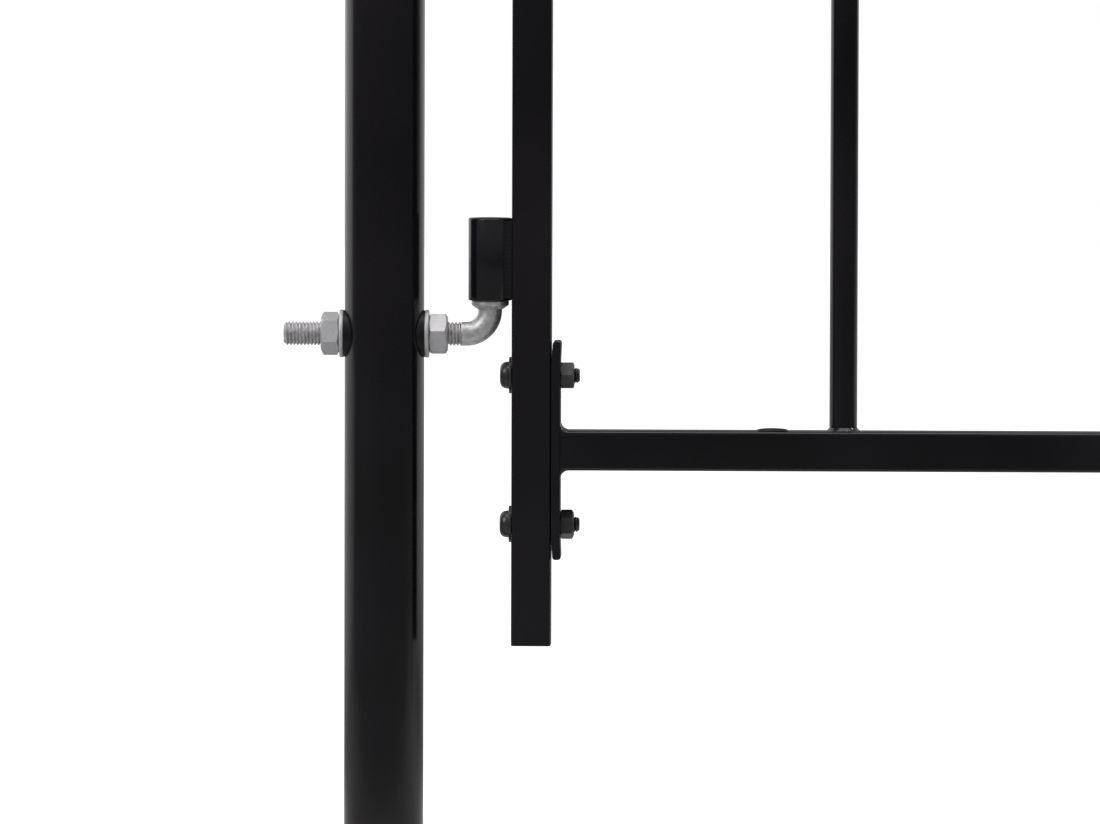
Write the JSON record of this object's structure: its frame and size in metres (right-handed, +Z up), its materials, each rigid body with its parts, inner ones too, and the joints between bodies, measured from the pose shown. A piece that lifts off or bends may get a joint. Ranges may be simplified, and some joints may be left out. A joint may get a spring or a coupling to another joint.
{
  "type": "spear top steel gate",
  "caption": "Black steel garden gate between two round posts: a bolted square-tube leaf with round spear-topped pickets swings on bent hinge bolts and is shut by a slide bolt.",
  "frame": {"origin": "On the hinge post's axis, at the ground: the middle of the underside of its base plate.", "axes": "+X along the closed leaf from the hinge post to the latch post, +Y away from the front, +Z up."},
  "size_m": [1.1348, 0.111, 1.139],
  "materials": {
    "black_coat": "gloss black powder coat over steel tube, plate and weld",
    "galvanised_steel": "galvanised steel, mottled grey zinc",
    "black_zinc": "black zinc-plated steel, satin",
    "black_plastic": "moulded black plastic, fine grain",
    "bolt_steel": "bright zinc-plated steel bar"
  },
  "bodies": {
    "posts": {"bolt_keeper": "black_coat", "hinge_post": "black_coat", "hinge_post_base": "black_coat", "hinge_post_cap": "black_plastic", "keeper_welds": "black_coat", "latch_post": "black_coat", "latch_post_base": "black_coat", "latch_post_cap": "black_plastic", "post_base_welds": "black_coat", "lower_hinge_bolt": "galvanised_steel", "lower_hinge_nuts": "galvanised_steel", "lower_hinge_washers": "galvanised_steel", "lower_hinge_saddles": "black_plastic", "upper_hinge_bolt": "galvanised_steel", "upper_hinge_nuts": "galvanised_steel", "upper_hinge_washers": "galvanised_steel", "upper_hinge_saddles": "black_plastic"},
    "leaf": {"bolt_sleeve": "black_coat", "bottom_rail": "black_coat", "bottom_rail_hinge_plate": "black_coat", "bottom_rail_latch_plate": "black_coat", "bottom_rail_nuts": "black_zinc", "bottom_rail_screws": "black_zinc", "bottom_rail_washers": "black_zinc", "hinge_stile": "black_coat", "hinge_stile_plugs": "black_plastic", "latch_stile": "black_coat", "latch_stile_plugs": "black_plastic", "lower_barrel_welds": "black_coat", "lower_hinge_barrel": "black_coat", "picket_1": "black_coat", "picket_2": "black_coat", "picket_3": "black_coat", "picket_4": "black_coat", "picket_5": "black_coat", "picket_welds": "black_coat", "rail_plugs": "black_plastic", "rail_welds": "black_coat", "sleeve_welds": "black_coat", "spear_point_1": "black_coat", "spear_point_2": "black_coat", "spear_point_3": "black_coat", "spear_point_4": "black_coat", "spear_point_5": "black_coat", "top_rail": "black_coat", "top_rail_hinge_plate": "black_coat", "top_rail_latch_plate": "black_coat", "top_rail_nuts": "black_zinc", "top_rail_screws": "black_zinc", "top_rail_washers": "black_zinc", "upper_barrel_welds": "black_coat", "upper_hinge_barrel": "black_coat"},
    "slide_bolt": {"bolt_bar": "bolt_steel", "bolt_handle": "bolt_steel", "bolt_knob": "black_plastic"}
  },
  "joints": [
    {"name": "leaf_swing", "type": "hinge", "parent": "posts", "child": "leaf", "pos_m": [0.0532, 0, 0.555], "axis": [0, 0, 1], "range_deg": [-110, 110]},
    {"name": "bolt_slide", "type": "slide", "parent": "leaf", "child": "slide_bolt", "axis": [1, 0, 0], "range_m": [0, 0.028]}
  ]
}
